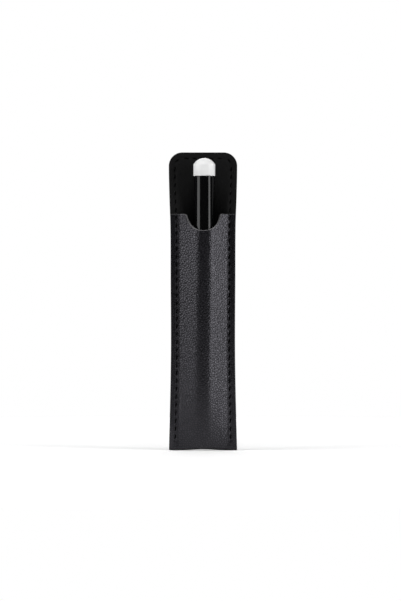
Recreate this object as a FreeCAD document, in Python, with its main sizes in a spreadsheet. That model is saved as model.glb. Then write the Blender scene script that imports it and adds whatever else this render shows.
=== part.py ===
import FreeCAD, Part
import math
import os
from types import SimpleNamespace

import Sketcher
from FreeCAD import Placement, Rotation, Vector

# Single pen sleeve. One strip of lined leather is folded at the bottom and sewn up both long sides.
# The back runs on above the pocket mouth as a rounded tab, and a pen stands in the pocket.
# The sleeve stands upright: +Z runs up the sleeve, the front faces -Y, the origin is the bottom centre.

doc = FreeCAD.newDocument("PenSleeve")

# Driving dimensions, in millimetres and degrees
SIZES = {
    # strip of leather and its lining
    "sleeve_width": 35.6,
    "pocket_height": 122.7,
    "tab_height": 32.3,
    "tab_flat": 10.5,
    "tab_corner": 7.0,
    "leather_thick": 0.9,
    "lining_thick": 0.4,
    "glue_line": 0.1,
    "notch_radius": 8.6,
    "seam_bend": 4.0,
    # sewn seam
    "seam_inset": 3.0,
    "seam_start": 5.0,
    "seam_land": 0.2,
    "groove_width": 1.2,
    "thread_bed": 0.08,
    "thread_height": 0.3,
    "thread_width": 0.5,
    "stitch_length": 2.6,
    "stitch_pitch": 4.1,
    "stitch_slant": 7.0,
    # pen
    "pen_clearance": 0.4,
    "pen_seat": 8.4,
    "barrel_diameter": 10.8,
    "barrel_wall": 1.2,
    "barrel_length": 111.0,
    "cap_diameter": 11.3,
    "cap_skirt": 6.0,
    "cap_dome": 3.4,
    "spigot_length": 8.0,
    "fit_clearance": 0.05,
    "nose_length": 20.0,
    "nose_end_wall": 0.7,
    "point_diameter": 2.3,
    "point_length": 3.0,
    "point_cone": 2.2,
    "point_end": 0.7,
    "point_collar": 5.0,
    "stub_length": 4.0,
    "refill_diameter": 3.0,
    "refill_wall": 0.5,
    "refill_length": 100.0,
    "refill_play": 0.2,
}

sheet = doc.addObject("Spreadsheet::Sheet", "Sizes")
for row, (name, value) in enumerate(SIZES.items(), start=1):
    sheet.set(f"A{row}", name)
    sheet.set(f"B{row}", str(value))
    sheet.setAlias(f"B{row}", name)
doc.recompute()


class Bound(float):
    """A length that keeps the sheet expression it comes from."""

    def __new__(cls, value, text):
        length = super().__new__(cls, value)
        length.text = text
        return length

    def joined(self, other, sign, value):
        other_text = other.text if isinstance(other, Bound) else repr(other)
        return Bound(value, f"({self.text} {sign} {other_text})")

    def __add__(self, other):
        return self.joined(other, "+", float(self) + float(other))

    def __sub__(self, other):
        return self.joined(other, "-", float(self) - float(other))

    def __truediv__(self, other):
        return self.joined(other, "/", float(self) / float(other))


# Each size as a plain number, for the formed leather, and bound to the sheet, for the turned pieces
size = SimpleNamespace(**{name: sheet.get(name) for name in SIZES})
bound = SimpleNamespace(**{name: Bound(sheet.get(name), f"Sizes.{name}") for name in SIZES})

# Levels up the pen, from its writing point
nose_foot = bound.point_length
collar_top = nose_foot + bound.point_collar
barrel_foot = nose_foot + bound.nose_length
barrel_top = barrel_foot + bound.barrel_length
cap_shoulder = barrel_top + bound.cap_skirt
pen_top = cap_shoulder + bound.cap_dome

# Faces of the plies, as distances from the middle of the seam
lining_inside = size.glue_line
lining_outside = lining_inside + size.lining_thick
leather_inside = lining_outside + size.glue_line
leather_outside = leather_inside + size.leather_thick

# Main lines of the sleeve
FRONT = -1
BACK = 1
half_width = size.sleeve_width / 2
margin = size.seam_inset + size.groove_width / 2 + size.seam_land
flat_lift = half_width - margin
fold_height = leather_outside
full_height = size.pen_seat + float(barrel_foot)
mouth_height = size.pocket_height
sleeve_top = mouth_height + size.tab_height
flat_height = sleeve_top - size.tab_flat
pen_radius = max(size.barrel_diameter, size.cap_diameter) / 2
full_rise = pen_radius + size.pen_clearance - lining_inside


# Bend at the seam, where a panel lifts off. It is limited by the leather left over round the pen.
seam_bend = min(size.seam_bend, flat_lift - full_rise * math.pi / 2)
rounds = full_rise + seam_bend


def straight_slope(angle):
    """Length of the straight slope between the bend at the seam and the round over the pen."""
    return (rounds * math.cos(angle) - seam_bend) / math.sin(angle)


# Slope at full swell. The leather doesn't stretch, so the swell draws the seam in.
HALVINGS = 60
shallow = 0.0
steep = math.acos(seam_bend / rounds)
for _ in range(HALVINGS):
    middle = (shallow + steep) / 2
    if straight_slope(middle) + rounds * middle > flat_lift:
        shallow = middle
    else:
        steep = middle
full_slope = steep
full_lift = rounds * math.sin(full_slope) + straight_slope(full_slope) * math.cos(full_slope)

# The pen leans to the right in the pocket, until the widest pen would nearly touch the slopes there.
pen_aside = (size.pen_clearance - size.fit_clearance) / math.sin(full_slope)


def lift_line(swollen):
    """Where a panel lifts off the seam, as a distance from the middle of the sleeve."""
    return full_lift if swollen else flat_lift


def ply_face(base, swollen, offset):
    """One face of a ply across the sleeve, right to left, as runs of 2 points and arcs of 3."""
    lift = lift_line(swollen)
    crest_radius = full_rise + offset
    bend_radius = seam_bend - offset
    bend_y = base + seam_bend

    def on_bend(turn):
        return (lift - bend_radius * math.sin(turn), bend_y - bend_radius * math.cos(turn))

    def on_crest(turn):
        return (crest_radius * math.sin(turn), base + crest_radius * math.cos(turn))

    edge = (lift + margin, base + offset)
    foot = (lift, base + offset)
    if swollen:
        bend = [foot, on_bend(full_slope / 2), on_bend(full_slope)]
        crest = [on_crest(full_slope), on_crest(full_slope / 2), on_crest(0)]
    else:
        bend = [foot, (on_bend(full_slope)[0], base + offset)]
        crest = [(on_crest(full_slope)[0], base + offset), (0.0, base + offset)]
    right = [[edge, foot], bend, [bend[-1], crest[0]], crest]
    left = [[(-x, y) for x, y in reversed(run)] for run in reversed(right)]
    return right + left


def closed_outline(runs, place):
    """A wire through runs of 2 points and arcs of 3, each point set in space by place."""
    edges = []
    for run in runs:
        points = [place(*point) for point in run]
        edges.append(Part.makeLine(*points) if len(points) == 2 else Part.Arc(*points).toShape())
    return Part.Wire(edges)


def ply_section(level, inner, outer, side):
    """Closed section of a ply at a level, in the front or the back of the sleeve."""
    height, base, swollen = level
    outer_face = ply_face(base, swollen, outer)
    inner_face = [run[::-1] for run in reversed(ply_face(base, swollen, inner))]
    left_edge = [outer_face[-1][-1], inner_face[0][0]]
    right_edge = [inner_face[-1][-1], outer_face[0][0]]
    runs = outer_face + [left_edge] + inner_face + [right_edge]
    return closed_outline(runs, lambda x, y: Vector(x, side * y, height))


def round_bar(inner, outer, sweep, place, thrust):
    """A bar whose section is a part of a ring, from angle 0 to sweep."""
    def around(radius, turn):
        return (radius * math.cos(turn), radius * math.sin(turn))

    outer_arc = [around(outer, turn) for turn in (0, sweep / 2, sweep)]
    inner_arc = [around(inner, turn) for turn in (sweep, sweep / 2, 0)]
    runs = [outer_arc, [outer_arc[-1], inner_arc[0]], inner_arc, [inner_arc[-1], outer_arc[0]]]
    return Part.Face(closed_outline(runs, place)).extrude(thrust)


# Levels up the sleeve, each a height, the y of the seam and whether the panel is swollen by the pen.
# The pocket swells from the flat fold, and the tab comes flat again behind the top of the pen.
fold_level = (fold_height, 0.0, False)
full_level = (full_height, 0.0, True)
mouth_level = (mouth_height, 0.0, True)
flat_level = (flat_height, full_rise, False)
top_level = (sleeve_top, full_rise, False)
front_levels = [fold_level, full_level, mouth_level]
back_levels = front_levels + [flat_level, top_level]


def folded_strip(inner, outer):
    """A whole ply: front panel, bottom fold, back panel and tab, with the tab's corners rounded."""
    front = Part.makeLoft([ply_section(level, inner, outer, FRONT) for level in front_levels], True, True)
    back = Part.makeLoft([ply_section(level, inner, outer, BACK) for level in back_levels], True, True)
    fold = round_bar(inner, outer, math.pi,
                     lambda along, down: Vector(-half_width, along, fold_height - down),
                     Vector(size.sleeve_width, 0, 0))
    strip = front.fuse([fold, back]).removeSplitter()
    corners = []
    for edge in strip.Edges:
        middle = edge.CenterOfMass
        if middle.z > sleeve_top - size.glue_line and abs(middle.x) > half_width - size.glue_line:
            corners.append(edge)
    return strip.makeFillet(size.tab_corner, corners)


# Seam lines up the right side, on the front panel, the back and the tab's lined face
corner_height = sleeve_top - size.tab_corner
corner_x = half_width - size.tab_corner
corner_turn = size.tab_corner - size.seam_inset
seam_top = sleeve_top - size.seam_inset
tab_thread = lining_inside - size.thread_bed
tab_face = full_rise + tab_thread
back_face = full_rise + leather_outside
tab_seam_levels = [mouth_level, flat_level, (corner_height, full_rise, False)]


def seam_line(levels, offset, side):
    """Middle of the seam at these levels, on the ply face at this offset."""
    inset = margin - size.seam_inset
    return [Vector(lift_line(swollen) + inset, side * (base + offset), height) for height, base, swollen in levels]


def sewn_from_start(line):
    """A seam line from the fold upward, cut off below the first stitch."""
    foot, first = line[:2]
    share = (size.seam_start - foot.z) / (first.z - foot.z)
    return [foot + (first - foot) * share] + line[1:]


front_seam = sewn_from_start(seam_line(front_levels, leather_outside, FRONT))
back_seam = sewn_from_start(seam_line([fold_level, full_level] + tab_seam_levels, leather_outside, BACK))
tab_seam = seam_line(tab_seam_levels, tab_thread, BACK)

# Groove that the thread lies in, pressed into the outer leather
half_groove = size.groove_width / 2
groove_depth = size.thread_height + size.thread_bed


def side_grooves(line):
    """Groove cutters up both sides along a seam line."""
    cutters = []
    for side in (-1, 1):
        sections = []
        for point in line:
            middle = Vector(side * point.x, point.y, point.z)
            across = Vector(half_groove, 0, 0)
            depth = Vector(0, groove_depth, 0)
            corners = [middle - across - depth, middle + across - depth,
                       middle + across + depth, middle - across + depth]
            sections.append(Part.makePolygon(corners + corners[:1]))
        cutters.append(Part.makeLoft(sections, True, True))
    return cutters


def tab_grooves(face):
    """Groove cutters round the tab's corners and across its top, on the face at this y."""
    low = face - groove_depth
    depth = Vector(0, 2 * groove_depth, 0)
    foot = Vector(-corner_x, low, seam_top - half_groove)
    cutters = [Part.makeBox(2 * corner_x, depth.y, size.groove_width, foot)]
    for side in (-1, 1):
        def place(along, up, side=side):
            return Vector(side * (corner_x + along), low, corner_height + up)

        cutters.append(round_bar(corner_turn - half_groove, corner_turn + half_groove, math.pi / 2, place, depth))
    return cutters


# Thumb notch punch, which cuts the front of both plies
punch = doc.addObject("Part::Cylinder", "ThumbPunch")
punch.setExpression("Radius", bound.notch_radius.text)
punch.setExpression("Height", bound.sleeve_width.text)
punch.Placement = Placement(Vector(0, 0, 0), Rotation(Vector(1, 0, 0), 90))
punch.setExpression("Placement.Base.z", bound.pocket_height.text)


def leather_ply(label, strip):
    """A ply of the sleeve: the formed strip with the thumb notch punched out of its front."""
    blank = doc.addObject("Part::Feature", f"{label}_strip")
    blank.Shape = strip
    blank.Placement = Placement()
    ply = doc.addObject("Part::Cut", label)
    ply.Label = label
    ply.Base = blank
    ply.Tool = punch
    return ply


leather_cutters = side_grooves(front_seam) + side_grooves(back_seam) + tab_grooves(back_face)
outer_leather = leather_ply("outer_leather", folded_strip(leather_inside, leather_outside).cut(leather_cutters))
lining = leather_ply("lining", folded_strip(lining_inside, lining_outside))


def stitch(side):
    """One stitch, a flat slanted bar of thread that lies on this side of the face that it is set on."""
    half_length = size.stitch_length / 2
    half_thread = size.thread_width / 2
    shoulder = half_length - size.thread_width
    corners = [Vector(x, 0, z) for x, z in ((-half_thread, -half_length), (half_thread, -shoulder),
                                            (half_thread, half_length), (-half_thread, shoulder))]
    bar = Part.Face(Part.makePolygon(corners + corners[:1])).extrude(Vector(0, side * size.thread_height, 0))
    bar.rotate(Vector(0, 0, 0), Vector(0, 1, 0), size.stitch_slant)
    return bar


def stitch_middles(length):
    """Middles of the stitches along a run of this length, at about the stitch pitch."""
    count = round(length / size.stitch_pitch)
    return [(index + 0.5) * length / count for index in range(count)]


def seam_runs(line):
    """Straight runs of a seam line on both sides of the sleeve, each a start, a turn and a length."""
    runs = []
    for side in (-1, 1):
        points = [Vector(side * point.x, point.y, point.z) for point in line]
        for start, end in zip(points, points[1:]):
            runs.append((start, Rotation(Vector(0, 0, 1), end - start), (end - start).Length))
    return runs


def side_stitches(line, side):
    """Stitches up both edges of the sleeve along a seam line."""
    stitches = []
    for start, turn, length in seam_runs(line):
        for middle in stitch_middles(length):
            bar = stitch(side)
            bar.Placement = Placement(start + turn.multVec(Vector(0, 0, middle)), turn) * bar.Placement
            stitches.append(bar)
    return stitches


def tab_stitches(face, side):
    """Stitches round the tab's corners and across its top, on the face at this y."""
    places = []
    for middle in stitch_middles(corner_turn * math.pi / 2):
        turn = middle / corner_turn
        x = corner_x + corner_turn * math.cos(turn)
        z = corner_height + corner_turn * math.sin(turn)
        places += [(way * x, z, -way * math.degrees(turn)) for way in (-1, 1)]
    places += [(middle - corner_x, seam_top, 90) for middle in stitch_middles(2 * corner_x)]
    stitches = []
    for x, z, turn in places:
        bar = stitch(side)
        bar.Placement = Placement(Vector(x, face, z), Rotation(Vector(0, 1, 0), turn)) * bar.Placement
        stitches.append(bar)
    return stitches


def thread(label, stitches):
    """A sewing thread, as the stitches that show on its side of the seam."""
    run = doc.addObject("Part::Feature", label)
    run.Label = label
    run.Shape = Part.makeCompound(stitches)
    run.Placement = Placement()
    return run


# The stitches are sunk level with the leather, and stand on the tab's softer lining
front_stitches = side_stitches(front_seam, BACK)
tab_front_stitches = side_stitches(tab_seam, FRONT) + tab_stitches(tab_face, FRONT)
back_stitches = side_stitches(back_seam, FRONT) + tab_stitches(back_face, FRONT)
needle_thread = thread("needle_thread", front_stitches + tab_front_stitches)
bobbin_thread = thread("bobbin_thread", back_stitches)


def turned_piece(label, outline, dome_run=None):
    """A round piece of the pen, turned from its outline of (radius, level) corners.

    dome_run is the number of the run, if any, that is an arc with its middle on the axis.
    """
    body = doc.addObject("PartDesign::Body", label)
    body.Label = label
    plane = next(item for item in body.Origin.OriginFeatures if item.Role == "XZ_Plane")
    sketch = body.newObject("Sketcher::SketchObject", f"{label}_outline")
    sketch.AttachmentSupport = [(plane, "")]
    sketch.MapMode = "FlatFace"
    corners = [Vector(float(radius), float(level), 0) for radius, level in outline]
    ends = corners[1:] + corners[:1]
    for number, (start, end) in enumerate(zip(corners, ends)):
        if number == dome_run:
            rise = end.y - start.y
            ball = (start.x ** 2 + rise ** 2) / (2 * rise)
            circle = Part.Circle(Vector(0, end.y - ball, 0), Vector(0, 0, 1), ball)
            sketch.addGeometry(Part.ArcOfCircle(circle, math.asin((ball - rise) / ball), math.pi / 2))
            sketch.addConstraint(Sketcher.Constraint("PointOnObject", number, 3, -2))
        else:
            sketch.addGeometry(Part.LineSegment(start, end))
    for number in range(len(corners)):
        sketch.addConstraint(Sketcher.Constraint("Coincident", number, 2, (number + 1) % len(corners), 1))
    for number, (radius, level) in enumerate(outline):
        for way, length, axis in (("DistanceX", radius, -2), ("DistanceY", level, -1)):
            if length:
                held = sketch.addConstraint(Sketcher.Constraint(way, -1, 1, number, 1, float(length)))
                sketch.setExpression(f"Constraints[{held}]", length.text)
            else:
                sketch.addConstraint(Sketcher.Constraint("PointOnObject", number, 1, axis))
    turning = body.newObject("PartDesign::Revolution", f"{label}_turning")
    turning.Profile = sketch
    turning.ReferenceAxis = (sketch, ["V_Axis"])
    turning.Angle = 360
    body.Placement = Placement(Vector(pen_aside, 0, 0), Rotation())
    body.setExpression("Placement.Base.z", bound.pen_seat.text)
    return body


# Pen barrel, an open tube
AXIS = 0
barrel_radius = bound.barrel_diameter / 2
barrel_bore = barrel_radius - bound.barrel_wall
pen_barrel = turned_piece("pen_barrel", [
    (barrel_bore, barrel_foot),
    (barrel_radius, barrel_foot),
    (barrel_radius, barrel_top),
    (barrel_bore, barrel_top),
])

# Domed end cap, plugged into the top of the barrel
spigot_radius = barrel_bore - bound.fit_clearance
cap_radius = bound.cap_diameter / 2
cap_foot = barrel_top - bound.spigot_length
pen_end_cap = turned_piece("pen_end_cap", [
    (AXIS, cap_foot),
    (spigot_radius, cap_foot),
    (spigot_radius, barrel_top),
    (cap_radius, barrel_top),
    (cap_radius, cap_shoulder),
    (AXIS, pen_top),
], dome_run=4)

# Nose, plugged into the foot of the barrel, with a bore for the refill and a collar for its point
point_radius = bound.point_diameter / 2
collar_bore = point_radius + bound.fit_clearance
refill_radius = bound.refill_diameter / 2
refill_bore = refill_radius + bound.refill_play
nose_top = barrel_foot + bound.spigot_length
pen_nose = turned_piece("pen_nose", [
    (barrel_radius, barrel_foot),
    (collar_bore + bound.nose_end_wall, nose_foot),
    (collar_bore, nose_foot),
    (collar_bore, collar_top),
    (refill_bore, collar_top),
    (refill_bore, nose_top),
    (spigot_radius, nose_top),
    (spigot_radius, barrel_foot),
])

# Ink tube of the refill
tube_bore = refill_radius - bound.refill_wall
tube_top = collar_top + bound.refill_length
refill_tube = turned_piece("refill_tube", [
    (tube_bore, collar_top),
    (refill_radius, collar_top),
    (refill_radius, tube_top),
    (tube_bore, tube_top),
])

# Writing point, whose stub is pushed into the ink tube
stub_radius = tube_bore - bound.fit_clearance
stub_top = collar_top + bound.stub_length
writing_point = turned_piece("writing_point", [
    (AXIS, stub_top),
    (stub_radius, stub_top),
    (stub_radius, collar_top),
    (point_radius, collar_top),
    (point_radius, bound.point_cone),
    (bound.point_end / 2, AXIS),
    (AXIS, AXIS),
])

doc.recompute()
for item in doc.Objects:
    if "Invalid" in item.State or "Error" in item.State:
        raise RuntimeError(f"{item.Label} failed: {item.State}")

pieces = [
    outer_leather, lining, needle_thread, bobbin_thread,
    pen_barrel, pen_end_cap, pen_nose, refill_tube, writing_point,
]
for piece in pieces:
    if piece.Shape.isNull() or not piece.Shape.isValid():
        raise RuntimeError(f"{piece.Label} has no valid shape")

os.makedirs("parts", exist_ok=True)
for piece in pieces:
    piece.Shape.exportStep(f"parts/{piece.Label}.step")
    print(f"{piece.Label}: {len(piece.Shape.Solids)} solids, {piece.Shape.Volume:.1f} mm3")
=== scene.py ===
import math

import bmesh
import bpy
from mathutils import Matrix, Vector


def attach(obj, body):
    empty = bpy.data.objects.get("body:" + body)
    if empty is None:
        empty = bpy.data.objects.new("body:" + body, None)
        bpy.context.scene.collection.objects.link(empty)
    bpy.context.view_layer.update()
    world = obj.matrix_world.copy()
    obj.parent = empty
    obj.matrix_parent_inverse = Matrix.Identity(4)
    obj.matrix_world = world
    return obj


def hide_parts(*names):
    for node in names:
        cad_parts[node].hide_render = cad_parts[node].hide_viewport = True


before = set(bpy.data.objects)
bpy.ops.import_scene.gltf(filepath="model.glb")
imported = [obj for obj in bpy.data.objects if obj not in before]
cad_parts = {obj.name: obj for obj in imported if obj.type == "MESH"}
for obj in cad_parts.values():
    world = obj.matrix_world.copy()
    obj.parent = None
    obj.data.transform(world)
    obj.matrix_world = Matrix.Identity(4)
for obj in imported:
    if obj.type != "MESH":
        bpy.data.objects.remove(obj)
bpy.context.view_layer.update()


# Outer leather: one strip of thin black pebbled leather, cut flat with a round thumb notch at one
# end and two round corners at the other. It is folded over at the bottom, formed round the pen and
# sewn up both sides, and its longer end stands up behind the mouth as a tab.
MM = 0.001
NEAR_ZERO = 0.001

# The strip, in millimetres, with its two faces as distances from the middle of the seam.
STRIP_HALF = 17.8
MOUTH = 122.7
TAB_FLAT = 144.5
TAB_TOP = 155.0
TAB_CORNER = 7.0
NOTCH = 8.6
NOTCH_ASIDE = 0.25
SHOULDER_LEFT = 1.7
SHOULDER_RIGHT = 0.9
LEATHER_IN = 0.6
LEATHER_OUT = 1.5
FOLD_BOW = 0.55

# The formed pocket across its width: a round over the pen, an even slope and a hollow bend at the
# seam. Below its full height it closes to the fold, its crest drifts aside towards the mouth, and
# the left bottom corner is curled back.
RISE = 6.0
CREST = 7.2
SEAM_BEND = 2.4
LEAN = math.radians(32.6)
FULL_HEIGHT = 38.0
FOLD_FULL = 3.6
CREST_MOUTH = 0.95
CREST_FOLD = -0.2
CORNER_CURL = 1.9
CURL_HEIGHT = 14.0
CURL_PAST = 1.0
crest_run = CREST * LEAN
bend_run = SEAM_BEND * LEAN
slope_run = (RISE - (CREST + SEAM_BEND) * (1 - math.cos(LEAN))) / math.sin(LEAN)
foot_run = crest_run + slope_run + bend_run
foot_place = (CREST + SEAM_BEND) * math.sin(LEAN) + slope_run * math.cos(LEAN)

# Lengths along the cut, from the mouth of the front panel round the fold to the end of the tab.
front_run = MOUTH - LEATHER_OUT
fold_run = math.pi * LEATHER_OUT
back_run = TAB_TOP - LEATHER_OUT
strip_run = front_run + fold_run + back_run

# Half the sleeve's width by height. The sides draw in where the pen takes up the leather.
WAIST = (
    (-10.0, STRIP_HALF), (0.0, 17.68), (16.0, 17.3), (36.0, 16.85), (57.0, 16.65),
    (88.0, 16.8), (116.0, 16.93), (131.0, 17.45), (144.0, STRIP_HALF), (TAB_TOP, STRIP_HALF),
    (165.0, STRIP_HALF),
)

# Sewing: the seam runs a little inside the edge, up both sides, and round the tab. Its thread
# pulls a groove into the leather, deepest at the needle holes.
SEAM_INSET = 3.1
SEAM_START = 5.0
STITCH_PITCH = 4.1
GROOVE_DEEP = 0.16
HOLE_DEEP = 0.16
GROOVE_WIDE = 0.55
seam_across = STRIP_HALF - SEAM_INSET
SEAM_RUNS = (
    (SEAM_START, FULL_HEIGHT), (FULL_HEIGHT, MOUTH), (MOUTH, TAB_FLAT),
    (TAB_FLAT, TAB_TOP - TAB_CORNER),
)

# Cutting: the notch is smoothed into the grid, and the rims are rounded by a share of the ply.
SMOOTH_ROUNDS = 4
SMOOTH_SHARE = 0.5
RIM_ANGLE = 1.0
CUT_ROUND = 0.42
EDGE_STEPS = 3
EDGE_PROFILE = 0.5
FACE_LEVEL = 0.9


def ease(value, start, end):
    """0 up to the start, 1 from the end on, and a smooth climb between them."""
    share = min(max((value - start) / (end - start), 0.0), 1.0)
    return share * share * (3 - 2 * share)


def half_width(height):
    """Half the sleeve's width at a height, on a smooth line through the waist's points."""
    last = len(WAIST) - 3
    number = next((n for n in range(1, last + 1) if height <= WAIST[n + 1][0]), last)
    (before, wide_0), (low, wide_1), (high, wide_2), (after, wide_3) = WAIST[number - 1:number + 3]
    share = min(max((height - low) / (high - low), 0.0), 1.0)
    rate_1 = (wide_2 - wide_0) / (high - before) * (high - low)
    rate_2 = (wide_3 - wide_1) / (after - low) * (high - low)
    left = 1 - share
    return (
        left * left * (1 + 2 * share) * wide_1 + share * share * (3 - 2 * share) * wide_2
        + share * left * (left * rate_1 - share * rate_2)
    )


def pocket_section(run):
    """Place, rise and lean of the formed pocket at a distance from its middle along the cut."""
    if run < crest_run:
        lean = run / CREST
        return CREST * math.sin(lean), RISE - CREST * (1 - math.cos(lean)), lean
    if run < crest_run + slope_run:
        down = run - crest_run
        place = CREST * math.sin(LEAN) + down * math.cos(LEAN)
        return place, RISE - CREST * (1 - math.cos(LEAN)) - down * math.sin(LEAN), LEAN
    if run < foot_run:
        lean = (foot_run - run) / SEAM_BEND
        return foot_place - SEAM_BEND * math.sin(lean), SEAM_BEND * (1 - math.cos(lean)), lean
    return foot_place + run - foot_run, 0.0, 0.0


def formed(across, along, offset):
    """Point of the sewn sleeve for a place on the cut and a distance from the seam's middle."""
    lift = 0.0
    if along < front_run:
        height, side = MOUTH - along, -1.0
    elif along < front_run + fold_run:
        turn = (along - front_run) / LEATHER_OUT
        height, side = LEATHER_OUT - offset * math.sin(turn), -math.cos(turn)
    else:
        height, side = along - front_run - fold_run + LEATHER_OUT, 1.0
        lift = ease(height, MOUTH, TAB_FLAT)
    closing = max(1 - (height + FOLD_FULL) / (FULL_HEIGHT + FOLD_FULL), 0.0)
    swell = math.sqrt(1 - closing ** 2) - lift
    near_middle = max(1 - (across / foot_run) ** 2, 0.0)
    near_fold = max(1 - height / FULL_HEIGHT, 0.0)
    crest_shift = CREST_FOLD + (CREST_MOUTH - CREST_FOLD) * min(height / MOUTH, 1.0)
    from_crest = across - crest_shift * near_middle
    run, out = abs(from_crest), math.copysign(1.0, from_crest)
    place, rise, lean = pocket_section(run)
    draw = (STRIP_HALF - half_width(height)) * max(run - place, 0.0) / (foot_run - foot_place)
    x = across - out * draw + out * swell * offset * math.sin(lean)
    y = lift * RISE + side * (swell * rise + offset * (1 - swell + swell * math.cos(lean)))
    at_corner = ease(-across, foot_run, STRIP_HALF + CURL_PAST) * ease(-height, -CURL_HEIGHT, 0.0)
    z = height + FOLD_BOW * near_middle ** 3 * near_fold ** 2
    return Vector((x, y + CORNER_CURL * at_corner, z))


def up_back(height):
    """Place along the cut of a height on the back panel and tab."""
    return front_run + fold_run + height - LEATHER_OUT


def stitch_share(height):
    """How far a height is from the needle holes above and below it: 0 at a hole, 1 midway."""
    for low, high in SEAM_RUNS:
        if low <= height <= high:
            count = round((high - low) / STITCH_PITCH)
            return math.sin(math.pi * count * (height - low) / (high - low)) ** 2
    return 1.0


def seam_dip(across, along):
    """How deep the thread pulls a place on the cut into the seam."""
    if along < front_run:
        height, away = MOUTH - along, abs(across) - seam_across
    else:
        height = along - front_run - fold_run + LEATHER_OUT
        over_x = abs(across) - STRIP_HALF + TAB_CORNER
        over_z = height - TAB_TOP + TAB_CORNER
        past = math.hypot(over_x, over_z) if min(over_x, over_z) > 0 else max(over_x, over_z)
        away = past - TAB_CORNER + SEAM_INSET
    if height < SEAM_START:
        return 0.0
    deep = GROOVE_DEEP + HOLE_DEEP * (1 - stitch_share(height))
    return deep * math.exp(-(away / GROOVE_WIDE) ** 2)


def spread(share, runs):
    """Distance along runs of (segments, length) for a share of all their segments."""
    left, reached = share * sum(count for count, _ in runs), 0.0
    for count, length in runs:
        if left <= count:
            return reached + length * left / count
        left -= count
        reached += length
    return reached


def notch_edge(across, along):
    """Nearest place on the edge of the notch, and whether a place lies in the notch."""
    across -= NOTCH_ASIDE
    shoulder = SHOULDER_RIGHT if across > 0 else SHOULDER_LEFT
    middle = math.sqrt(NOTCH ** 2 + 2 * NOTCH * shoulder)
    if along * middle >= abs(across) * shoulder:
        away = max(math.hypot(across, along), NEAR_ZERO)
        return NOTCH_ASIDE + across * NOTCH / away, along * NOTCH / away, away < NOTCH
    over, down = abs(across) - middle, along - shoulder
    away = max(math.hypot(over, down), NEAR_ZERO)
    nearest = NOTCH_ASIDE + math.copysign(middle + over * shoulder / away, across)
    return nearest, shoulder + down * shoulder / away, over < 0 and away > shoulder


def cut_ply(columns, rows, low, high):
    """A ply of the strip, cut flat with its notch and round corners, between two offsets."""
    ply = bmesh.new()
    bmesh.ops.create_grid(
        ply, x_segments=2 * sum(count for count, _ in columns),
        y_segments=sum(count for count, _ in rows), size=1.0,
    )
    for vert in ply.verts:
        across = math.copysign(spread(abs(vert.co.x), columns), vert.co.x)
        along = spread((vert.co.y + 1) / 2, rows)
        over_x = (abs(across) - STRIP_HALF + TAB_CORNER) / TAB_CORNER
        over_y = (along - strip_run + TAB_CORNER) / TAB_CORNER
        if over_x > 0 and over_y > 0:
            inward = over_x * (1 - math.sqrt(1 - over_y ** 2 / 2)) * TAB_CORNER
            across -= math.copysign(inward, across)
            along -= over_y * (1 - math.sqrt(1 - over_x ** 2 / 2)) * TAB_CORNER
        vert.co = (across, along, low)
    reach = NOTCH + 2 * max(SHOULDER_LEFT, SHOULDER_RIGHT)
    middles = [(face, face.calc_center_median().xy) for face in ply.faces]
    taken = [
        face for face, middle in middles
        if math.hypot(*middle) < reach and notch_edge(*middle)[2]
    ]
    bmesh.ops.delete(ply, geom=taken, context="FACES")
    near = [vert for vert in ply.verts if math.hypot(*vert.co.xy) < reach]
    for vert in near:
        x, y, inside = notch_edge(*vert.co.xy)
        if vert.is_boundary and (vert.co.y > 0 or inside):
            vert.co.xy = x, y
    inner = [vert for vert in near if not vert.is_boundary]
    for _ in range(SMOOTH_ROUNDS):
        bmesh.ops.smooth_vert(
            ply, verts=inner, factor=SMOOTH_SHARE, use_axis_x=True, use_axis_y=True,
        )
    raised = bmesh.ops.extrude_face_region(ply, geom=ply.faces[:], use_keep_orig=True)["geom"]
    upper = [made for made in raised if isinstance(made, bmesh.types.BMVert)]
    bmesh.ops.translate(ply, verts=upper, vec=(0, 0, high - low))
    bmesh.ops.recalc_face_normals(ply, faces=ply.faces[:])
    sharp = [edge for edge in ply.edges if edge.is_manifold and edge.calc_face_angle() > RIM_ANGLE]
    rims = [edge for edge in sharp if abs(edge.verts[0].co.z - edge.verts[1].co.z) < NEAR_ZERO]
    bmesh.ops.bevel(
        ply, geom=rims, offset=CUT_ROUND * (high - low), offset_type="OFFSET",
        segments=EDGE_STEPS, profile=EDGE_PROFILE, affect="EDGES", material=-1,
    )
    flat = ply.loops.layers.uv.new("flat_cut")
    for face in ply.faces:
        face.smooth = True
        face.material_index = 0 if abs(face.normal.z) > FACE_LEVEL else 1
        for loop in face.loops:
            loop[flat].uv = loop.vert.co.xy * MM
    return ply


def finished(name, shape, *materials):
    """An object at the origin made from a shape in millimetres."""
    bmesh.ops.scale(shape, verts=shape.verts[:], vec=(MM, MM, MM))
    mesh = bpy.data.meshes.new(name)
    shape.to_mesh(mesh)
    shape.free()
    for material in materials:
        mesh.materials.append(material)
    piece = bpy.data.objects.new(name, mesh)
    bpy.context.scene.collection.objects.link(piece)
    return piece


# Making materials: each of these adds shader nodes to a tree and gives back what they put out.
# The mix node has its factor in socket 0, its two colours in 6 and 7, and the mixed colour in 2.
MIX_FACTOR, MIX_FIRST, MIX_SECOND, MIX_RESULT = 0, 6, 7, 2


def join(tree, node, joins):
    """Join inputs of a shader node to sockets, or set them to values."""
    for name, value in joins.items():
        if isinstance(value, bpy.types.NodeSocket):
            tree.links.new(value, node.inputs[name])
        else:
            node.inputs[name].default_value = value


def put(tree, kind, joins=None, **settings):
    """A new shader node with its settings, and its inputs joined or set."""
    made = tree.nodes.new(kind)
    for name, value in settings.items():
        setattr(made, name, value)
    join(tree, made, joins or {})
    return made


def worked(tree, operation, *values):
    """Result of a sum with sockets and numbers."""
    return put(tree, "ShaderNodeMath", dict(enumerate(values)), operation=operation).outputs[0]


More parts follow.
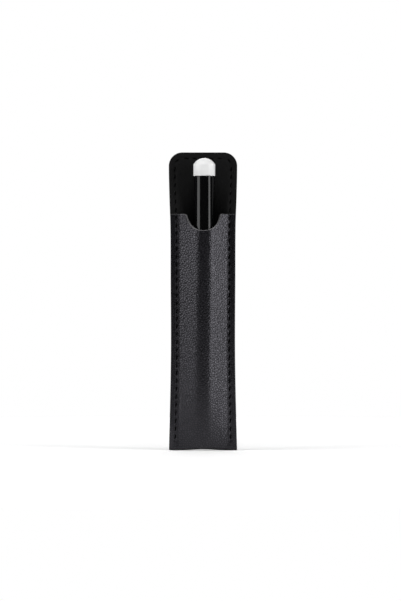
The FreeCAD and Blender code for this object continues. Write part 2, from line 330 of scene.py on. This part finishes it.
def ramp(tree, value, start, end, low=0.0, high=1.0, curve="LINEAR"):
    """A value that goes from low to high as another goes from start to end."""
    joins = {"Value": value, "From Min": start, "From Max": end, "To Min": low, "To Max": high}
    return put(tree, "ShaderNodeMapRange", joins, interpolation_type=curve).outputs["Result"]


def between(tree, factor, low, high):
    """A value that goes from low to high as a factor goes from 0 to 1."""
    return ramp(tree, factor, 0.0, 1.0, low, high)


def tinted(tree, factor, dark, light):
    """A colour that goes from dark to light with a factor."""
    joins = {MIX_FACTOR: factor, MIX_FIRST: (*dark, 1), MIX_SECOND: (*light, 1)}
    return put(tree, "ShaderNodeMix", joins, data_type="RGBA").outputs[MIX_RESULT]


def noise(tree, vector, scale, detail, rough=0.5):
    """Outputs of a cloudy noise: its value as Fac and its colour as Color."""
    joins = {"Vector": vector, "Scale": scale, "Detail": detail, "Roughness": rough}
    return put(tree, "ShaderNodeTexNoise", joins).outputs


def unrolled(tree, layer):
    """Place on a piece as laid out flat."""
    return put(tree, "ShaderNodeUVMap", uv_map=layer).outputs["UV"]


def position(tree):
    """Place on a piece in space."""
    return put(tree, "ShaderNodeTexCoord").outputs["Object"]


def coordinate(tree, vector, axis):
    """One coordinate of a place."""
    return put(tree, "ShaderNodeSeparateXYZ", {"Vector": vector}).outputs[axis]


def stretched(tree, vector, scale):
    """A place scaled by axis, so that a pattern on it comes out drawn long."""
    return put(tree, "ShaderNodeMapping", {"Vector": vector, "Scale": scale}).outputs["Vector"]


def relief(tree, height, strength, depth):
    """Facing of a surface that is embossed by a height."""
    bump = put(tree, "ShaderNodeBump", {"Height": height, "Strength": strength, "Distance": depth})
    return bump.outputs["Normal"]


def grouped(tree, group, **joins):
    """Outputs of a shader node group, with its inputs joined or set."""
    return put(tree, "ShaderNodeGroup", joins, node_tree=group).outputs


def surface(name):
    """A new material, its node tree and its main shader."""
    material = bpy.data.materials.new(name)
    material.use_nodes = True
    return material, material.node_tree, material.node_tree.nodes["Principled BSDF"]


def effect(name, inputs, outputs):
    """A new shader node group with the outputs of its input node, and its output node."""
    group = bpy.data.node_groups.new(name, "ShaderNodeTree")
    for label, kind in inputs.items():
        group.interface.new_socket(label, in_out="INPUT", socket_type=kind)
    for label in outputs:
        group.interface.new_socket(label, in_out="OUTPUT", socket_type="NodeSocketFloat")
    return group, group.nodes.new("NodeGroupInput").outputs, group.nodes.new("NodeGroupOutput")


# Pebble grain: rounded pads with creases between them that wander a little, finer pores, and a
# slower unevenness. Scales are per metre of leather, reaches in pads or metres.
WANDER_SCALE = 500.0
WANDER_REACH = 0.0006
PAD_BLEND = 0.35
PAD_REACH = 0.65
PAD_SHARE = 0.5
CREASE_REACH = 0.28
PORE_SCALE = 3500.0
PORE_SHARE = 0.05
UNEVEN_SCALE = 1000.0
UNEVEN_SHARE = 0.7
NOISE_MIDDLE = (0.5, 0.5, 0.5)

pebble_grain, given, result = effect(
    "pebble_grain", {"Vector": "NodeSocketVector", "Pads": "NodeSocketFloat"}, ("Height", "Pad"),
)
wander = noise(pebble_grain, given["Vector"], WANDER_SCALE, detail=1.0)["Color"]
wander = put(
    pebble_grain, "ShaderNodeVectorMath", {0: wander, 1: NOISE_MIDDLE}, operation="SUBTRACT",
).outputs[0]
wander = put(
    pebble_grain, "ShaderNodeVectorMath", {0: wander, "Scale": WANDER_REACH}, operation="SCALE",
).outputs[0]
bent = put(
    pebble_grain, "ShaderNodeVectorMath", {0: given["Vector"], 1: wander}, operation="ADD",
).outputs[0]
from_pad = put(
    pebble_grain, "ShaderNodeTexVoronoi",
    {"Vector": bent, "Scale": given["Pads"], "Smoothness": PAD_BLEND},
    voronoi_dimensions="2D", feature="SMOOTH_F1",
).outputs["Distance"]
from_crease = put(
    pebble_grain, "ShaderNodeTexVoronoi", {"Vector": bent, "Scale": given["Pads"]},
    voronoi_dimensions="2D", feature="DISTANCE_TO_EDGE",
).outputs["Distance"]
dome = ramp(pebble_grain, from_pad, 0.0, PAD_REACH, 1.0, 0.0, curve="SMOOTHSTEP")
pad = ramp(pebble_grain, from_crease, 0.0, CREASE_REACH, curve="SMOOTHSTEP")
pores = noise(pebble_grain, given["Vector"], PORE_SCALE, detail=2.0)["Fac"]
fine = worked(pebble_grain, "MULTIPLY", pores, PORE_SHARE)
uneven = noise(pebble_grain, given["Vector"], UNEVEN_SCALE, detail=0.0)["Fac"]
fine = worked(pebble_grain, "MULTIPLY_ADD", uneven, UNEVEN_SHARE, fine)
pebbled = worked(pebble_grain, "ADD", pad, dome)
pebbled = worked(pebble_grain, "MULTIPLY_ADD", pebbled, PAD_SHARE, fine)
join(pebble_grain, result, {"Height": pebbled, "Pad": pad})

# Handling: slow, cloudy changes of colour and polish that every used surface has, and fine flecks.
CLOUD_ROUGH = 0.6
FLECKS_PER_CLOUD = 24.0

handling, given, result = effect(
    "handling", {"Vector": "NodeSocketVector", "Scale": "NodeSocketFloat"}, ("Cloud", "Fleck"),
)
cloud = noise(handling, given["Vector"], given["Scale"], detail=4.0, rough=CLOUD_ROUGH)["Fac"]
fleck_scale = worked(handling, "MULTIPLY", given["Scale"], FLECKS_PER_CLOUD)
fleck = noise(handling, given["Vector"], fleck_scale, detail=2.0)["Fac"]
join(handling, result, {"Cloud": cloud, "Fleck": fleck})

# The leather's face. On the margins outside the seam the grain is pressed flatter. Here and below,
# clouds are per metre, and a relief is the strength of the embossing and its depth in metres.
LEATHER_DARK = (0.0030, 0.0029, 0.0035)
LEATHER_LIGHT = (0.0070, 0.0068, 0.0080)
LEATHER_PADS = 880.0
LEATHER_CLOUDS = 60.0
LEATHER_ROUGH = (0.24, 0.33)
LEATHER_SHINE = (0.32, 0.53)
LEATHER_TINT = (0.92, 0.90, 1.0, 1.0)
LEATHER_RELIEF = (1.0, 0.000062)
PRESS_START, PRESS_END, PRESSED_GRAIN = 0.0140, 0.0150, 0.4

leather_face, tree, skin = surface("black_pebbled_leather")
cut = unrolled(tree, "flat_cut")
grain = grouped(tree, pebble_grain, Vector=cut, Pads=LEATHER_PADS)
wear = grouped(tree, handling, Vector=cut, Scale=LEATHER_CLOUDS)
tone = worked(tree, "MULTIPLY", grain["Pad"], wear["Cloud"])
from_middle = worked(tree, "ABSOLUTE", coordinate(tree, cut, "X"))
pressed = ramp(tree, from_middle, PRESS_START, PRESS_END, 1.0, PRESSED_GRAIN)
raised = worked(tree, "MULTIPLY", grain["Height"], pressed)
join(tree, skin, {
    "Base Color": tinted(tree, tone, LEATHER_DARK, LEATHER_LIGHT),
    "Roughness": between(tree, wear["Cloud"], *LEATHER_ROUGH),
    "Specular IOR Level": between(tree, grain["Pad"], *LEATHER_SHINE),
    "Specular Tint": LEATHER_TINT,
    "Normal": relief(tree, raised, *LEATHER_RELIEF),
})

# The painted cut edge. Towards the middle of the strip's width, at the notch and the mouth, a pale
# painted highlight broken by flecks stands in for light the rounded rim catches from above.
EDGE_DARK = (0.016, 0.016, 0.017)
EDGE_HIGHLIGHT = (0.170, 0.166, 0.173)
EDGE_CLOUDS = 220.0
EDGE_HIGHLIGHT_FLECKS = (0.6, 1.0)
EDGE_ROUGH = (0.45, 0.65)
EDGE_RELIEF = (0.4, 0.00008)
HIGHLIGHT_START, HIGHLIGHT_END, HIGHLIGHT_LEAST = 0.004, 0.0135, 0.15

leather_edge, tree, skin = surface("painted_leather_edge")
spot = position(tree)
wear = grouped(tree, handling, Vector=spot, Scale=EDGE_CLOUDS)
from_middle = worked(tree, "ABSOLUTE", coordinate(tree, spot, "X"))
# Painted highlight: the edge colour is paler towards the middle of the width and fades to a little
# at the margins.
painted_highlight_reach = ramp(tree, from_middle, HIGHLIGHT_START, HIGHLIGHT_END, 1.0, HIGHLIGHT_LEAST)
painted_highlight = worked(tree, "MULTIPLY", painted_highlight_reach, between(tree, wear["Fleck"], *EDGE_HIGHLIGHT_FLECKS))
join(tree, skin, {
    "Base Color": tinted(tree, painted_highlight, EDGE_DARK, EDGE_HIGHLIGHT),
    "Roughness": between(tree, wear["Cloud"], *EDGE_ROUGH),
    "Normal": relief(tree, wear["Fleck"], *EDGE_RELIEF),
})

# Segments and lengths of the flat grid: wide columns over the pocket, fine ones at the seam and
# one at the rim, and rows along the front, round the fold and up the back.
POCKET_BAND = 13.2
SEAM_BAND = 4.1
RIM_BAND = STRIP_HALF - POCKET_BAND - SEAM_BAND
LEATHER_COLUMNS = ((22, POCKET_BAND), (13, SEAM_BAND), (1, RIM_BAND))
LEATHER_ROWS = ((200, front_run), (16, fold_run), (252, back_run))
shape = cut_ply(LEATHER_COLUMNS, LEATHER_ROWS, LEATHER_IN, LEATHER_OUT)
for vert in shape.verts:
    across, along, offset = vert.co
    depth = (offset - LEATHER_IN) / (LEATHER_OUT - LEATHER_IN)
    vert.co = formed(across, along, offset - depth * seam_dip(across, along))
bmesh.ops.reverse_faces(shape, faces=shape.faces[:])
leather_strip = finished("leather_strip", shape, leather_face, leather_edge)
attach(leather_strip, "sleeve")
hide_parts("outer_leather")


# Lining: a thin black microfibre cut to the same shape and glued inside the leather before it is
# folded. It shows as the matt face of the tab and at the mouth of the pocket.
LINING_IN = 0.1
LINING_OUT = 0.5
NAP_DARK = (0.0012, 0.0012, 0.0013)
NAP_LIGHT = (0.0032, 0.0032, 0.0034)
NAP_BRUSHED = (1.0, 0.12, 1.0)
NAP_CLOUDS = 170.0
NAP_ROUGH = (0.8, 0.95)
NAP_RELIEF = (0.5, 0.00008)
NAP_SHINE = 0.18
NAP_SHEEN, NAP_SHEEN_ROUGH = 0.015, 0.4

nap, tree, skin = surface("black_microfibre")
brushed = stretched(tree, unrolled(tree, "flat_cut"), NAP_BRUSHED)
wear = grouped(tree, handling, Vector=brushed, Scale=NAP_CLOUDS)
join(tree, skin, {
    "Base Color": tinted(tree, wear["Cloud"], NAP_DARK, NAP_LIGHT),
    "Roughness": between(tree, wear["Fleck"], *NAP_ROUGH),
    "Specular IOR Level": NAP_SHINE,
    "Sheen Weight": NAP_SHEEN,
    "Sheen Roughness": NAP_SHEEN_ROUGH,
    "Normal": relief(tree, wear["Fleck"], *NAP_RELIEF),
})

LINING_BAND = 13.6
LINING_COLUMNS = ((17, LINING_BAND), (10, STRIP_HALF - LINING_BAND))
LINING_ROWS = ((130, front_run), (12, fold_run), (200, back_run))
shape = cut_ply(LINING_COLUMNS, LINING_ROWS, LINING_IN, LINING_OUT)
for vert in shape.verts:
    across, along, offset = vert.co
    shows = along > up_back(MOUTH)
    depth = (LINING_OUT - offset) / (LINING_OUT - LINING_IN)
    vert.co = formed(across, along, offset + (depth * seam_dip(across, along) if shows else 0.0))
bmesh.ops.reverse_faces(shape, faces=shape.faces[:])
lining_strip = finished("lining_strip", shape, nap, leather_edge)
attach(lining_strip, "sleeve")
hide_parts("lining")


# Sewing threads: waxed black polyester, lockstitched through both panels at the sides and on round
# the tab. The needle thread shows on the front and the bobbin thread on the back, as short slanted
# stitches whose ends sink into the needle holes.
STITCH_LONG = 2.4
STITCH_WIDE = 0.66
STITCH_TALL = 0.42
STITCH_SINK = 0.2
STITCH_BED = 0.025
STITCH_SLANT = math.radians(10.0)
STITCH_SIDES, STITCH_RINGS = 8, 6
# The thread's colours are darker than black thread alone. They also paint the shade of the needle
# holes and the groove into the stitches.
THREAD_DARK = (0.0004, 0.0004, 0.0004)
THREAD_LIGHT = (0.0014, 0.0014, 0.0015)
THREAD_ROUGH = (0.9, 0.75)
THREAD_SHINE = 0.03
THREAD_RELIEF = (0.6, 0.00006)
TWIST_SCALE, TWIST_UNEVEN = 1.6, 0.6

thread, tree, skin = surface("waxed_black_thread")
twist = put(
    tree, "ShaderNodeTexWave", {
        "Vector": unrolled(tree, "around_thread"), "Scale": TWIST_SCALE,
        "Distortion": TWIST_UNEVEN, "Detail": 1.0,
    },
    bands_direction="DIAGONAL",
).outputs["Fac"]
join(tree, skin, {
    "Base Color": tinted(tree, twist, THREAD_DARK, THREAD_LIGHT),
    "Roughness": between(tree, twist, *THREAD_ROUGH),
    "Specular IOR Level": THREAD_SHINE,
    "Normal": relief(tree, twist, *THREAD_RELIEF),
})


def add_stitch(shape, middle, along, out):
    """One stitch of thread: a rounded bar that lies along the seam, with its ends sunk in."""
    made = bmesh.ops.create_uvsphere(
        shape, u_segments=STITCH_SIDES, v_segments=STITCH_RINGS, radius=0.5, calc_uvs=True,
    )["verts"]
    side = along.cross(out)
    straight = (STITCH_LONG - STITCH_WIDE) / 2
    for vert in made:
        aside, up, end = vert.co.y * STITCH_WIDE, vert.co.x * STITCH_TALL, vert.co.z
        reach = end * STITCH_WIDE
        if abs(end) > NEAR_ZERO:
            reach += math.copysign(straight, end)
        sunk = STITCH_SINK * (2 * reach / STITCH_LONG) ** 2
        vert.co = middle + side * aside + out * (up - sunk) + along * reach


def seam_places(front):
    """Middle, direction and facing of each stitch on the front or the back of the sleeve."""
    places = []
    level = LINING_IN if front else LEATHER_OUT
    for low, high in SEAM_RUNS:
        count = round((high - low) / STITCH_PITCH)
        on_tab = low >= MOUTH
        for number in range(count):
            height = low + (number + 0.5) * (high - low) / count
            for across in (-seam_across, seam_across):
                if front and not on_tab:
                    steps = [MOUTH - height - step for step in (-1, 0, 1)]
                    line = [formed(across, along, LEATHER_OUT) for along in steps]
                else:
                    steps = [up_back(height + step) for step in (1, 0, -1)]
                    line = [formed(across, along, level) for along in steps]
                places.append((line[1], line[0] - line[2]))
    face = RISE + level
    corner_x, corner_z = STRIP_HALF - TAB_CORNER, TAB_TOP - TAB_CORNER
    seam_round = TAB_CORNER - SEAM_INSET
    corner_count = round(seam_round * math.pi / 2 / STITCH_PITCH)
    for number in range(corner_count):
        turn = (number + 0.5) / corner_count * math.pi / 2
        for way in (-1, 1):
            x = way * (corner_x + seam_round * math.cos(turn))
            spot = Vector((x, face, corner_z + seam_round * math.sin(turn)))
            places.append((spot, Vector((-way * math.sin(turn), 0, math.cos(turn)))))
    top_count = round(2 * corner_x / STITCH_PITCH)
    for number in range(top_count):
        x = (2 * (number + 0.5) / top_count - 1) * corner_x
        places.append((Vector((x, face, TAB_TOP - SEAM_INSET)), Vector((1, 0, 0))))
    out = Vector((0, -1, 0)) if front else Vector((0, 1, 0))
    slant = Matrix.Rotation(STITCH_SLANT, 3, "Y")
    for middle, along in places:
        along = slant @ along.normalized()
        facing = (out - along * out.dot(along)).normalized()
        yield middle - facing * STITCH_BED, along, facing


THREADS = (
    ("needle_stitches", "needle_thread", True), ("bobbin_stitches", "bobbin_thread", False),
)
for name, node, front in THREADS:
    shape = bmesh.new()
    shape.loops.layers.uv.new("around_thread")
    for middle, along, facing in seam_places(front):
        add_stitch(shape, middle, along, facing)
    bmesh.ops.recalc_face_normals(shape, faces=shape.faces[:])
    for face in shape.faces:
        face.smooth = True
    stitches = finished(name, shape, thread)
    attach(stitches, "sleeve")
    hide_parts(node)


# Pen barrel: a straight tube of glossy black plastic, drawn and cut to length, with its ends
# broken a little. The cap and the nose are plugged into it.
BARREL_ROUND = 5.4
BARREL_BORE = 4.2
BARREL_FOOT = 31.4
BARREL_END = 142.4
BARREL_EDGE = 0.15
PEN_ASIDE = 0.67
PEN_SIDES = 72
DOME_STEPS = 12
SHARP_ANGLE = 0.35
GLOSS_DARK = (0.0012, 0.0012, 0.0013)
GLOSS_LIGHT = (0.0024, 0.0024, 0.0026)
GLOSS_DRAWN = (1.0, 1.0, 0.15)
GLOSS_CLOUDS = 90.0
GLOSS_ROUGH = (0.04, 0.13)
GLOSS_SHINE = 0.22
GLOSS_RELIEF = (0.05, 0.00002)


def turned(outline, edge_round, dome=None, sides=PEN_SIDES):
    """A round piece of the pen, turned from an outline of (radius, height) corners.

    With a dome, an arc of that rise closes the outline from its last corner to the axis. The edges
    are broken, and the piece stands where the pen does, a little to the right.
    """
    shape = bmesh.new()
    verts = [shape.verts.new((radius, 0, height)) for radius, height in outline]
    for start, end in zip(verts, verts[1:]):
        shape.edges.new((start, end))
    if dome:
        radius, height = outline[-1]
        ball = (radius ** 2 + dome ** 2) / (2 * dome)
        bmesh.ops.spin(
            shape, geom=[verts[-1]], cent=(0, 0, height + dome - ball), axis=(0, -1, 0),
            angle=math.asin(radius / ball), steps=DOME_STEPS,
        )
    elif outline[0][0] > 0:
        shape.edges.new((verts[-1], verts[0]))
    bmesh.ops.spin(
        shape, geom=shape.verts[:] + shape.edges[:], cent=(0, 0, 0), axis=(0, 0, 1),
        angle=2 * math.pi, steps=sides, use_merge=True,
    )
    bmesh.ops.remove_doubles(shape, verts=shape.verts[:], dist=NEAR_ZERO)
    bmesh.ops.recalc_face_normals(shape, faces=shape.faces[:])
    sharp = [
        edge for edge in shape.edges if edge.is_manifold and edge.calc_face_angle() > SHARP_ANGLE
    ]
    bmesh.ops.bevel(
        shape, geom=sharp, offset=edge_round, offset_type="OFFSET", segments=EDGE_STEPS,
        profile=EDGE_PROFILE, affect="EDGES", material=-1, clamp_overlap=True,
    )
    bmesh.ops.translate(shape, verts=shape.verts[:], vec=(PEN_ASIDE, 0, 0))
    for face in shape.faces:
        face.smooth = True
    return shape


gloss, tree, skin = surface("glossy_black_plastic")
drawn = stretched(tree, position(tree), GLOSS_DRAWN)
wear = grouped(tree, handling, Vector=drawn, Scale=GLOSS_CLOUDS)
join(tree, skin, {
    "Base Color": tinted(tree, wear["Cloud"], GLOSS_DARK, GLOSS_LIGHT),
    "Roughness": between(tree, wear["Fleck"], *GLOSS_ROUGH),
    "Specular IOR Level": GLOSS_SHINE,
    "Normal": relief(tree, wear["Fleck"], *GLOSS_RELIEF),
})

shape = turned(
    [
        (BARREL_BORE, BARREL_FOOT), (BARREL_ROUND, BARREL_FOOT),
        (BARREL_ROUND, BARREL_END), (BARREL_BORE, BARREL_END),
    ],
    BARREL_EDGE,
)
barrel = finished("barrel", shape, gloss)
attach(barrel, "pen")
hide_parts("pen_barrel")


# End cap: moulded white plastic with a satin skin, a short skirt a little wider than the barrel and
# a low dome. Its plug sits in the bore of the barrel.
CAP_ROUND = 5.65
CAP_SHOULDER = 148.4
CAP_DOME = 3.4
CAP_EDGE = 0.18
PLUG_ROUND = 4.15
PLUG_LONG = 8.0
CAP_DARK = (0.78, 0.78, 0.78)
CAP_LIGHT = (0.87, 0.87, 0.87)
CAP_CLOUDS = 160.0
CAP_ROUGH = (0.30, 0.45)
CAP_MILKY, CAP_MILKY_REACH = 0.6, 0.003
CAP_RELIEF = (0.12, 0.00004)

satin, tree, skin = surface("satin_white_plastic")
wear = grouped(tree, handling, Vector=position(tree), Scale=CAP_CLOUDS)
join(tree, skin, {
    "Base Color": tinted(tree, wear["Cloud"], CAP_DARK, CAP_LIGHT),
    "Roughness": between(tree, wear["Fleck"], *CAP_ROUGH),
    "Subsurface Weight": CAP_MILKY,
    "Subsurface Radius": (1.0, 1.0, 1.0),
    "Subsurface Scale": CAP_MILKY_REACH,
    "Normal": relief(tree, wear["Fleck"], *CAP_RELIEF),
})

shape = turned(
    [
        (0.0, BARREL_END - PLUG_LONG), (PLUG_ROUND, BARREL_END - PLUG_LONG),
        (PLUG_ROUND, BARREL_END), (CAP_ROUND, BARREL_END), (CAP_ROUND, CAP_SHOULDER),
    ],
    CAP_EDGE, dome=CAP_DOME,
)
end_cap = finished("end_cap", shape, satin)
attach(end_cap, "pen")
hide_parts("pen_end_cap")


# Nose: a black cone of the same plastic as the barrel, plugged into its foot. It is bored for the
# refill and holds the writing point in a short collar.
NOSE_FOOT = 11.4
COLLAR_TOP = 16.4
COLLAR_BORE = 1.2
NOSE_WALL = 0.7
REFILL_BORE = 1.7
NOSE_TOP = 39.4
NOSE_EDGE = 0.12
shape = turned(
    [
        (BARREL_ROUND, BARREL_FOOT), (COLLAR_BORE + NOSE_WALL, NOSE_FOOT),
        (COLLAR_BORE, NOSE_FOOT), (COLLAR_BORE, COLLAR_TOP), (REFILL_BORE, COLLAR_TOP),
        (REFILL_BORE, NOSE_TOP), (PLUG_ROUND, NOSE_TOP), (PLUG_ROUND, BARREL_FOOT),
    ],
    NOSE_EDGE,
)
nose = finished("nose", shape, gloss)
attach(nose, "pen")
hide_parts("pen_nose")


# Writing point: a small turned metal tip with a fine cone that ends blunt. Its stub is pushed into
# the ink tube, and the nose guides it.
POINT_FOOT = 8.4
POINT_CONE = 2.2
POINT_ROUND = 1.15
POINT_END = 0.35
POINT_EDGE = 0.06
POINT_SIDES = 40
STUB_ROUND = 0.95
STUB_TOP = 20.4
METAL_DARK = (0.40, 0.39, 0.37)
METAL_LIGHT = (0.62, 0.61, 0.58)
METAL_RINGS = (0.1, 0.1, 1.0)
METAL_CLOUDS = 900.0
METAL_ROUGH = (0.18, 0.35)
METAL_RELIEF = (0.15, 0.00002)

metal, tree, skin = surface("turned_metal")
rings = stretched(tree, position(tree), METAL_RINGS)
wear = grouped(tree, handling, Vector=rings, Scale=METAL_CLOUDS)
join(tree, skin, {
    "Base Color": tinted(tree, wear["Cloud"], METAL_DARK, METAL_LIGHT),
    "Metallic": 1.0,
    "Roughness": between(tree, wear["Fleck"], *METAL_ROUGH),
    "Normal": relief(tree, wear["Fleck"], *METAL_RELIEF),
})

shape = turned(
    [
        (0.0, STUB_TOP), (STUB_ROUND, STUB_TOP), (STUB_ROUND, COLLAR_TOP),
        (POINT_ROUND, COLLAR_TOP), (POINT_ROUND, POINT_FOOT + POINT_CONE),
        (POINT_END, POINT_FOOT), (0.0, POINT_FOOT),
    ],
    POINT_EDGE, sides=POINT_SIDES,
)
point = finished("point", shape, metal)
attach(point, "pen")
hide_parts("writing_point")


# Ink tube of the refill: milky extruded plastic, open at both ends, pushed over the stub of the
# writing point and hidden in the barrel. It keeps the shape of its solid.
TUBE_DARK = (0.42, 0.42, 0.39)
TUBE_LIGHT = (0.60, 0.60, 0.57)
TUBE_CLOUDS = 200.0
TUBE_ROUGH = (0.25, 0.4)

milky, tree, skin = surface("milky_tube_plastic")
wear = grouped(tree, handling, Vector=position(tree), Scale=TUBE_CLOUDS)
join(tree, skin, {
    "Base Color": tinted(tree, wear["Cloud"], TUBE_DARK, TUBE_LIGHT),
    "Roughness": between(tree, wear["Fleck"], *TUBE_ROUGH),
})
ink_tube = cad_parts["refill_tube"]
ink_tube.data.materials.clear()
ink_tube.data.materials.append(milky)


# Stage: a plain white floor, a white backdrop behind, two tall soft strips at the sides, a weak
# fill on the right, a soft light above and one behind, and a long lens straight in front.
FLOOR_ROUND = 0.45
FLOOR_SIDES = 96
FLOOR_PAINT = (0.85, 0.85, 0.85, 1)
FLOOR_GLOW = 0.24
WHITE = (1, 1, 1)

# Mirrored from close under the fold, the floor keeps the object's shadow. Towards its rim it fades
# into the white of the backdrop.
SHADOW_START, SHADOW_END = 0.003, 0.008
FADE_START, FADE_END, FADE_GLOW = 0.06, 0.40, 0.20
floor_shape = bmesh.new()
bmesh.ops.create_circle(
    floor_shape, cap_ends=True, segments=FLOOR_SIDES, radius=FLOOR_ROUND / MM,
)
floor_paint = bpy.data.materials.new("white_floor")
floor_paint.use_nodes = True
tree = floor_paint.node_tree
tree.nodes.clear()
matt = put(tree, "ShaderNodeBsdfDiffuse", {"Color": FLOOR_PAINT}).outputs[0]
rays = put(tree, "ShaderNodeLightPath").outputs
spot = position(tree)
from_sleeve = worked(tree, "ABSOLUTE", coordinate(tree, spot, "Y"))
clear = ramp(tree, from_sleeve, SHADOW_START, SHADOW_END)
mirrored = worked(tree, "MULTIPLY", rays["Is Glossy Ray"], clear)
seen = worked(tree, "MAXIMUM", rays["Is Camera Ray"], mirrored)
seen = worked(tree, "MAXIMUM", seen, rays["Is Transmission Ray"])
far = put(tree, "ShaderNodeVectorMath", {0: spot}, operation="LENGTH").outputs["Value"]
fade = ramp(tree, far, FADE_START, FADE_END, 0.0, FADE_GLOW)
fade = worked(tree, "MULTIPLY", fade, rays["Is Camera Ray"])
glow = worked(tree, "MULTIPLY_ADD", seen, FLOOR_GLOW, fade)
glow = put(tree, "ShaderNodeEmission", {"Color": (*WHITE, 1), "Strength": glow}).outputs[0]
both = put(tree, "ShaderNodeAddShader", {0: matt, 1: glow}).outputs[0]
put(tree, "ShaderNodeOutputMaterial", {"Surface": both})
finished("floor", floor_shape, floor_paint)


def softbox(name, wide, tall, glow, place, aim):
    """A soft rectangular lamp of a brightness, at a place and turned to a point."""
    lamp = bpy.data.lights.new(name, "AREA")
    lamp.shape = "RECTANGLE"
    lamp.size, lamp.size_y = wide, tall
    lamp.energy = glow * math.pi * wide * tall
    stand = bpy.data.objects.new(name, lamp)
    stand.location = place
    stand.rotation_euler = (Vector(aim) - Vector(place)).to_track_quat("-Z", "Y").to_euler()
    bpy.context.scene.collection.objects.link(stand)


# The strips by name: angle from the front, width, brightness, and height of the middle.
STRIP_AWAY = 0.7
STRIP_TALL = 0.9
STRIPS = (
    ("left_strip", math.radians(-68), 0.42, 4.4, 0.57),
    ("right_strip", math.radians(59), 0.25, 6.0, 0.45),
)
for name, turn, wide, glow, middle in STRIPS:
    place = (STRIP_AWAY * math.sin(turn), -STRIP_AWAY * math.cos(turn), middle)
    softbox(name, wide, STRIP_TALL, glow, place, (0, 0, middle))
softbox("right_fill", wide=0.3, tall=0.6, glow=0.3, place=(0.65, 0.26, 0.25), aim=(0, 0, 0.15))
softbox("top_light", wide=0.6, tall=0.5, glow=2.2, place=(0, -0.35, 0.8), aim=(0, 0, 0.08))
softbox("back_light", wide=0.9, tall=0.6, glow=2.0, place=(0, 0.8, 0.6), aim=(0, 0, 0.08))

# The studio is dark grey, with a white backdrop that the camera sees all round and that shiny
# surfaces mirror from behind the object.
STUDIO_GREY = (0.042, 0.042, 0.044)
BACKDROP_START, BACKDROP_END = 0.80, 0.92
world = bpy.data.worlds.new("studio")
world.use_nodes = True
bpy.context.scene.world = world
tree = world.node_tree
tree.nodes.clear()
rays = put(tree, "ShaderNodeLightPath").outputs
heading = put(tree, "ShaderNodeTexCoord").outputs["Generated"]
backdrop = ramp(tree, coordinate(tree, heading, "Y"), BACKDROP_START, BACKDROP_END)
white = worked(tree, "MAXIMUM", rays["Is Camera Ray"], rays["Is Transmission Ray"])
white = worked(tree, "MAXIMUM", white, backdrop)
sky = put(tree, "ShaderNodeBackground", {"Color": tinted(tree, white, STUDIO_GREY, WHITE)})
put(tree, "ShaderNodeOutputWorld", {"Surface": sky.outputs[0]})

CAMERA_AWAY = 1.6
VIEW_TALL = 0.3121
VIEW_MIDDLE = (-0.0013, 0.0778)
SENSOR_WIDE = 36.0
CLIP_NEAR, CLIP_FAR = 0.05, 20.0
camera_data = bpy.data.cameras.new("camera")
camera_data.sensor_width = SENSOR_WIDE
camera_data.lens = SENSOR_WIDE * CAMERA_AWAY / VIEW_TALL
camera_data.clip_start, camera_data.clip_end = CLIP_NEAR, CLIP_FAR
camera = bpy.data.objects.new("camera", camera_data)
camera.location = (VIEW_MIDDLE[0], -CAMERA_AWAY, VIEW_MIDDLE[1])
camera.rotation_euler = (math.pi / 2, 0, 0)
bpy.context.scene.collection.objects.link(camera)
bpy.context.scene.camera = camera
bpy.context.scene.view_settings.view_transform = "Standard"
